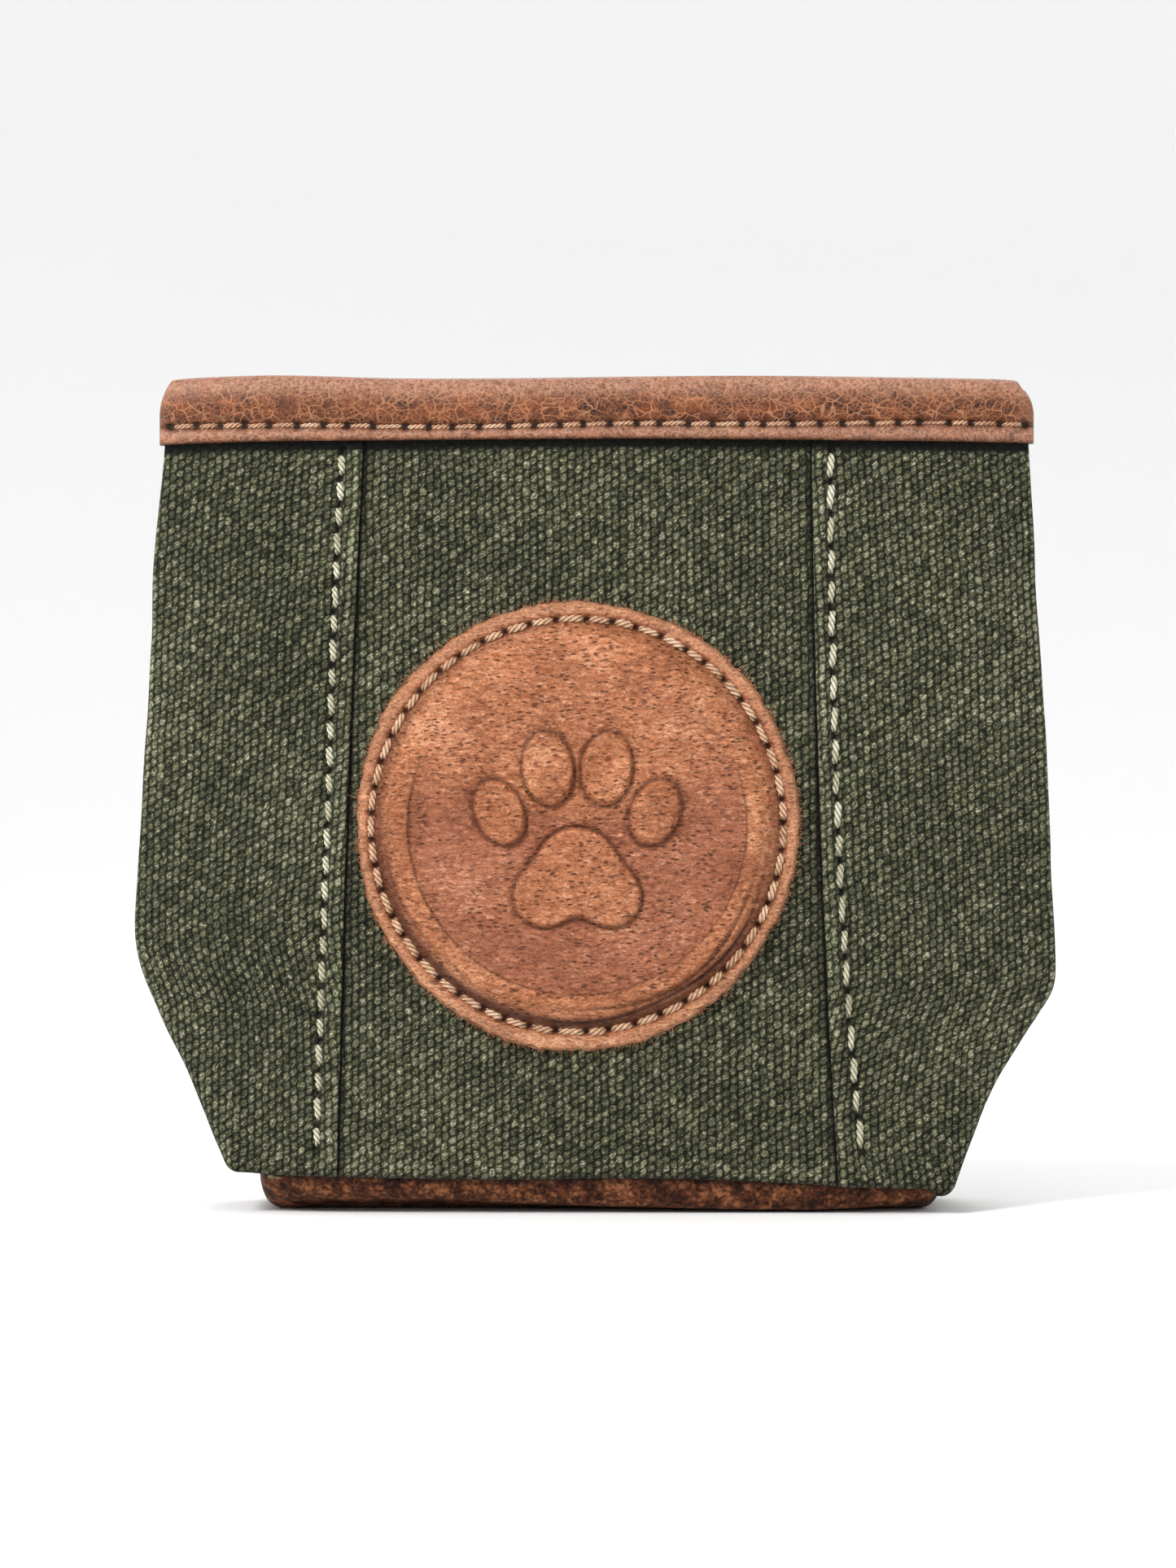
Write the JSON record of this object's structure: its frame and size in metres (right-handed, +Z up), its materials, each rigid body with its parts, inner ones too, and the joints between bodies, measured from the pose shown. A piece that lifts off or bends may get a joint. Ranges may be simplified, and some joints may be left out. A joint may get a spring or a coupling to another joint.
{
  "type": "treat pouch",
  "caption": "Small canvas treat pouch with a leather base and rim, a round leather patch, a snap at its mouth that swings open, and a belt loop behind.",
  "frame": {"origin": "middle of the base's underside, which is what the pouch stands on", "axes": "+Z up, the front with its patch faces -Y, +X runs along the mouth"},
  "size_m": [0.1264, 0.0347, 0.1146],
  "materials": {
    "canvas": "plain weave",
    "lining_cloth": "smooth weave",
    "rim_leather": "smooth, slightly waxed",
    "patch_leather": "smooth, undyed",
    "base_leather": "pebbled",
    "tan_thread": "twisted thread",
    "cream_thread": "twisted thread",
    "snap_metal": "polished"
  },
  "bodies": {
    "bag": {"base_panel": "base_leather", "base_lining": "lining_cloth", "back_panel": "canvas", "side_panel_left_back": "canvas", "side_panel_right_back": "canvas", "lining_back": "lining_cloth", "rim_binding_back": "rim_leather", "rim_stitching_back": "tan_thread", "seam_stitching_back_left": "cream_thread", "seam_stitching_back_right": "cream_thread", "belt_loop": "rim_leather", "belt_loop_stitching": "tan_thread", "snap_stud": "snap_metal", "snap_stud_washer": "snap_metal"},
    "front": {"front_panel": "canvas", "side_panel_left_front": "canvas", "side_panel_right_front": "canvas", "lining_front": "lining_cloth", "rim_binding_front": "rim_leather", "rim_stitching_front": "tan_thread", "seam_stitching_front_left": "cream_thread", "seam_stitching_front_right": "cream_thread", "patch": "patch_leather", "patch_stitching": "cream_thread", "snap_socket": "snap_metal", "snap_socket_washer": "snap_metal"}
  },
  "joints": [
    {"name": "mouth_open", "type": "hinge", "parent": "bag", "child": "front", "pos_m": [0, -0.015, 0.0038], "axis": [1, 0, 0], "range_deg": [0, 14]}
  ]
}
